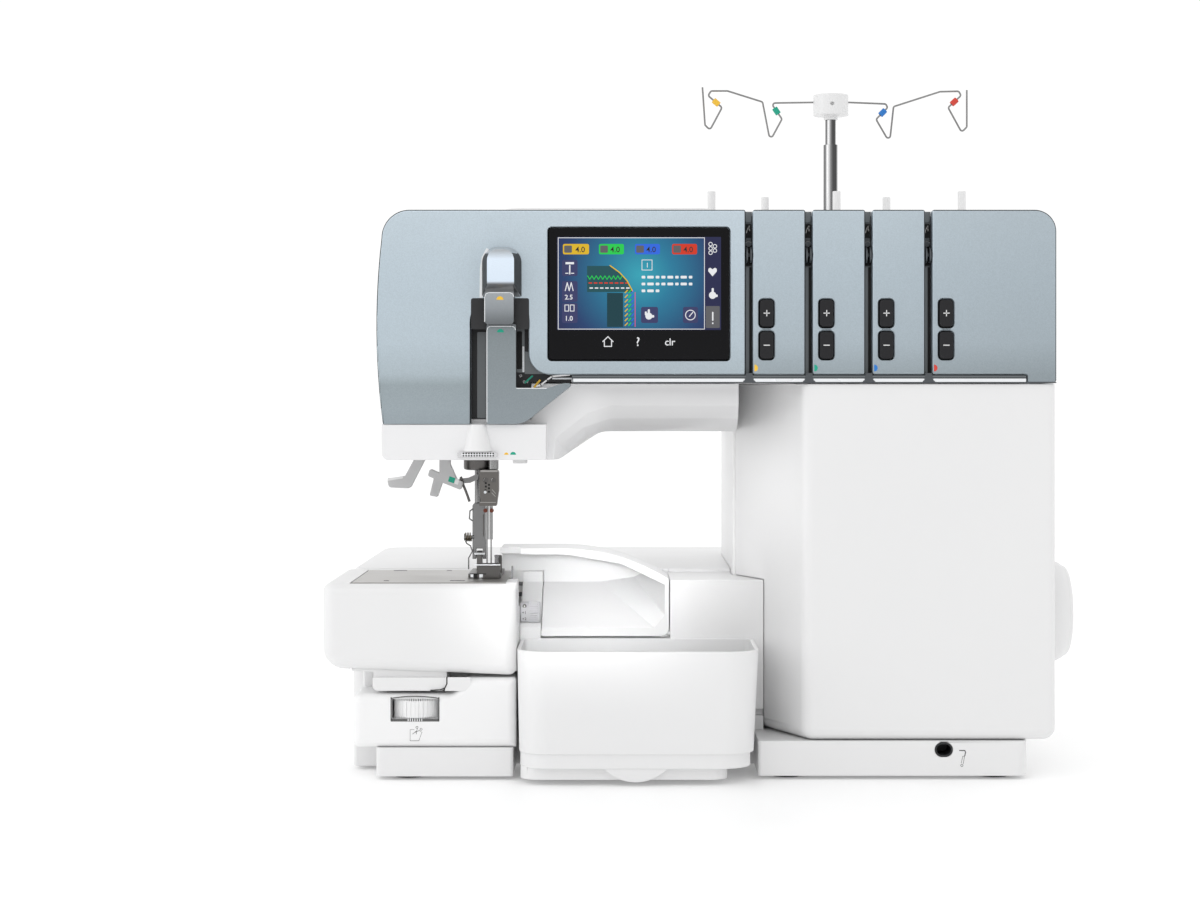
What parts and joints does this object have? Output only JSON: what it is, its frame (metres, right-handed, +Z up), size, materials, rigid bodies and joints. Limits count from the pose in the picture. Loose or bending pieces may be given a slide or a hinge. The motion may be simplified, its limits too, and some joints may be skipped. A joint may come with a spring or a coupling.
{
  "type": "serger overlock machine",
  "caption": "Overlock sewing machine with touch screen, slotted tension panel, free arm with removable table, looper cover, trimmings bin, handwheel and telescopic thread stand.",
  "frame": {"origin": "middle of the footprint, on the table", "axes": "+Z up, +X to the machine's right side as the user sees it, +Y to the back"},
  "size_m": [0.4275, 0.337, 0.4178],
  "materials": {
    "white_cover": "smooth white moulded plastic",
    "head_white": "smooth white moulded plastic",
    "metallic_cover": "satin pale blue-grey metallic paint",
    "dark_recess": "dark moulded plastic",
    "screen": "black glass over a colour display",
    "button": "dark charcoal keys",
    "steel": "brushed steel",
    "bright_steel": "polished steel",
    "knife_steel": "ground tool steel",
    "rubber_foot": "black rubber",
    "belt_rubber": "black ribbed rubber",
    "black_plastic": "black moulded plastic",
    "grey_dial": "pale grey moulded plastic",
    "lamp_lens": "clear lamp lens",
    "bead_colours": "green, yellow, blue and red beads",
    "motor_metal": "dark painted motor can"
  },
  "bodies": {
    "machine": {"base_pan": "white_cover", "left_base": "white_cover", "rear_bed": "white_cover", "free_arm": "white_cover", "front_housing": "white_cover", "column_housing": "white_cover", "right_front_cover": "white_cover", "arm_housing": "white_cover", "spool_platform": "white_cover", "spool_pins": "white_cover", "thread_funnel": "white_cover", "head_cover": "head_white", "left_front_panel": "metallic_cover", "tension_panels": "metallic_cover", "thread_hoods": "metallic_cover", "thread_channel": "dark_recess", "screen_glass": "screen", "needle_plate": "steel", "thread_guides": "steel", "lower_tube": "bright_steel", "housing_screws": "bright_steel", "rubber_feet": "rubber_foot", "drive_belt": "belt_rubber", "knee_lift_socket": "black_plastic", "power_inlet": "black_plastic", "work_lamp": "lamp_lens", "drive_motor": "motor_metal"},
    "bin": {"waste_bin": "white_cover"},
    "table": {"extension_table": "white_cover"},
    "looper_door": {"looper_cover": "white_cover"},
    "width_wheel": {"cutting_width_wheel": "grey_dial"},
    "thread_dial": {"micro_dial": "grey_dial"},
    "wheel_and_shaft": {"handwheel": "white_cover", "main_shaft": "steel"},
    "motor_rotor": {"motor_pulley": "steel"},
    "needle_carrier": {"needle_bar": "bright_steel", "needle_clamp": "steel", "needles": "bright_steel"},
    "presser": {"presser_bar": "bright_steel"},
    "foot": {"presser_foot": "steel"},
    "lifter": {"lifter_lever": "grey_dial"},
    "threader": {"needle_threader_lever": "grey_dial"},
    "feed": {"feed_dogs": "steel"},
    "looper_low": {"lower_looper": "steel"},
    "looper_up": {"upper_looper": "steel"},
    "knife": {"upper_knife": "knife_steel"},
    "stand": {"upper_tube": "bright_steel", "guide_hub": "white_cover", "guide_wires": "bright_steel", "guide_beads": "bead_colours"},
    "handle": {"carry_handle": "white_cover"},
    "switch": {"power_switch": "black_plastic"},
    "plus_key_1": {"plus_button_1": "button"},
    "plus_key_2": {"plus_button_2": "button"},
    "plus_key_3": {"plus_button_3": "button"},
    "plus_key_4": {"plus_button_4": "button"},
    "minus_key_1": {"minus_button_1": "button"},
    "minus_key_2": {"minus_button_2": "button"},
    "minus_key_3": {"minus_button_3": "button"},
    "minus_key_4": {"minus_button_4": "button"}
  },
  "joints": [
    {"name": "bin_slide", "type": "slide", "parent": "machine", "child": "bin", "axis": [0, -1, 0], "range_m": [0, 0.12]},
    {"name": "table_slide", "type": "slide", "parent": "machine", "child": "table", "axis": [-1, 0, 0], "range_m": [0, 0.1]},
    {"name": "looper_cover_hinge", "type": "hinge", "parent": "machine", "child": "looper_door", "pos_m": [-0.06, -0.0953, 0.0772], "axis": [1, 0, 0], "range_deg": [0, 58]},
    {"name": "width_wheel_turn", "type": "hinge", "parent": "machine", "child": "width_wheel", "pos_m": [-0.1603, -0.1314, 0.039], "axis": [0, 0, 1], "range_deg": [-150, 150]},
    {"name": "thread_dial_turn", "type": "hinge", "parent": "machine", "child": "thread_dial", "pos_m": [-0.098, -0.0906, 0.0886], "axis": [1, 0, 0], "range_deg": [-60, 60]},
    {"name": "handwheel_turn", "type": "hinge", "parent": "machine", "child": "wheel_and_shaft", "pos_m": [0.206, -0.068, 0.0874], "axis": [1, 0, 0], "continuous": true},
    {"name": "motor_turn", "type": "hinge", "parent": "machine", "child": "motor_rotor", "pos_m": [0.12, 0.01, 0.052], "axis": [1, 0, 0], "continuous": true},
    {"name": "needle_bar_slide", "type": "slide", "parent": "machine", "child": "needle_carrier", "axis": [0, 0, 1], "range_m": [-0.012, 0.016]},
    {"name": "lifter_turn", "type": "hinge", "parent": "machine", "child": "lifter", "pos_m": [-0.1617, -0.09, 0.1835], "axis": [0, 1, 0], "range_deg": [0, 30]},
    {"name": "presser_bar_slide", "type": "slide", "parent": "machine", "child": "presser", "axis": [0, 0, 1], "range_m": [0, 0.006]},
    {"name": "foot_tilt", "type": "hinge", "parent": "presser", "child": "foot", "pos_m": [-0.1296, -0.074, 0.1206], "axis": [-1, 0, 0], "range_deg": [0, 6]},
    {"name": "threader_slide", "type": "slide", "parent": "machine", "child": "threader", "axis": [0, 0, -1], "range_m": [0, 0.012], "stiffness_N_per_m": 60, "springref_m": -0.004},
    {"name": "feed_slide", "type": "slide", "parent": "machine", "child": "feed", "axis": [0, 1, 0], "range_m": [-0.0016, 0.0016]},
    {"name": "lower_looper_slide", "type": "slide", "parent": "machine", "child": "looper_low", "axis": [1, 0, 0], "range_m": [-0.003, 0.003]},
    {"name": "upper_looper_turn", "type": "hinge", "parent": "machine", "child": "looper_up", "pos_m": [-0.058, -0.049, 0.094], "axis": [0, 1, 0], "range_deg": [-2, 3.5]},
    {"name": "upper_knife_slide", "type": "slide", "parent": "machine", "child": "knife", "axis": [0, 0, 1], "range_m": [-0.006, 0]},
    {"name": "stand_slide", "type": "slide", "parent": "machine", "child": "stand", "axis": [0, 0, 1], "range_m": [-0.014, 0.06]},
    {"name": "handle_turn", "type": "hinge", "parent": "machine", "child": "handle", "pos_m": [-0.053, 0.012, 0.3222], "axis": [-1, 0, 0], "range_deg": [0, 90]},
    {"name": "switch_turn", "type": "hinge", "parent": "machine", "child": "switch", "pos_m": [0.1796, 0.122, 0.062], "axis": [0, -1, 0], "range_deg": [0, 14]},
    {"name": "plus_key_press_1", "type": "slide", "parent": "machine", "child": "plus_key_1", "axis": [0, 1, 0], "range_m": [0, 0.0008], "stiffness_N_per_m": 300, "springref_m": -0.0004},
    {"name": "plus_key_press_2", "type": "slide", "parent": "machine", "child": "plus_key_2", "axis": [0, 1, 0], "range_m": [0, 0.0008], "stiffness_N_per_m": 300, "springref_m": -0.0004},
    {"name": "plus_key_press_3", "type": "slide", "parent": "machine", "child": "plus_key_3", "axis": [0, 1, 0], "range_m": [0, 0.0008], "stiffness_N_per_m": 300, "springref_m": -0.0004},
    {"name": "plus_key_press_4", "type": "slide", "parent": "machine", "child": "plus_key_4", "axis": [0, 1, 0], "range_m": [0, 0.0008], "stiffness_N_per_m": 300, "springref_m": -0.0004},
    {"name": "minus_key_press_1", "type": "slide", "parent": "machine", "child": "minus_key_1", "axis": [0, 1, 0], "range_m": [0, 0.0008], "stiffness_N_per_m": 300, "springref_m": -0.0004},
    {"name": "minus_key_press_2", "type": "slide", "parent": "machine", "child": "minus_key_2", "axis": [0, 1, 0], "range_m": [0, 0.0008], "stiffness_N_per_m": 300, "springref_m": -0.0004},
    {"name": "minus_key_press_3", "type": "slide", "parent": "machine", "child": "minus_key_3", "axis": [0, 1, 0], "range_m": [0, 0.0008], "stiffness_N_per_m": 300, "springref_m": -0.0004},
    {"name": "minus_key_press_4", "type": "slide", "parent": "machine", "child": "minus_key_4", "axis": [0, 1, 0], "range_m": [0, 0.0008], "stiffness_N_per_m": 300, "springref_m": -0.0004}
  ],
  "couplings": [
    {"joint": "motor_turn", "follows": "handwheel_turn", "ratio": 3.4286},
    {"joint": "lifter_turn", "follows": "presser_bar_slide", "rad_per_m": 87.26}
  ]
}
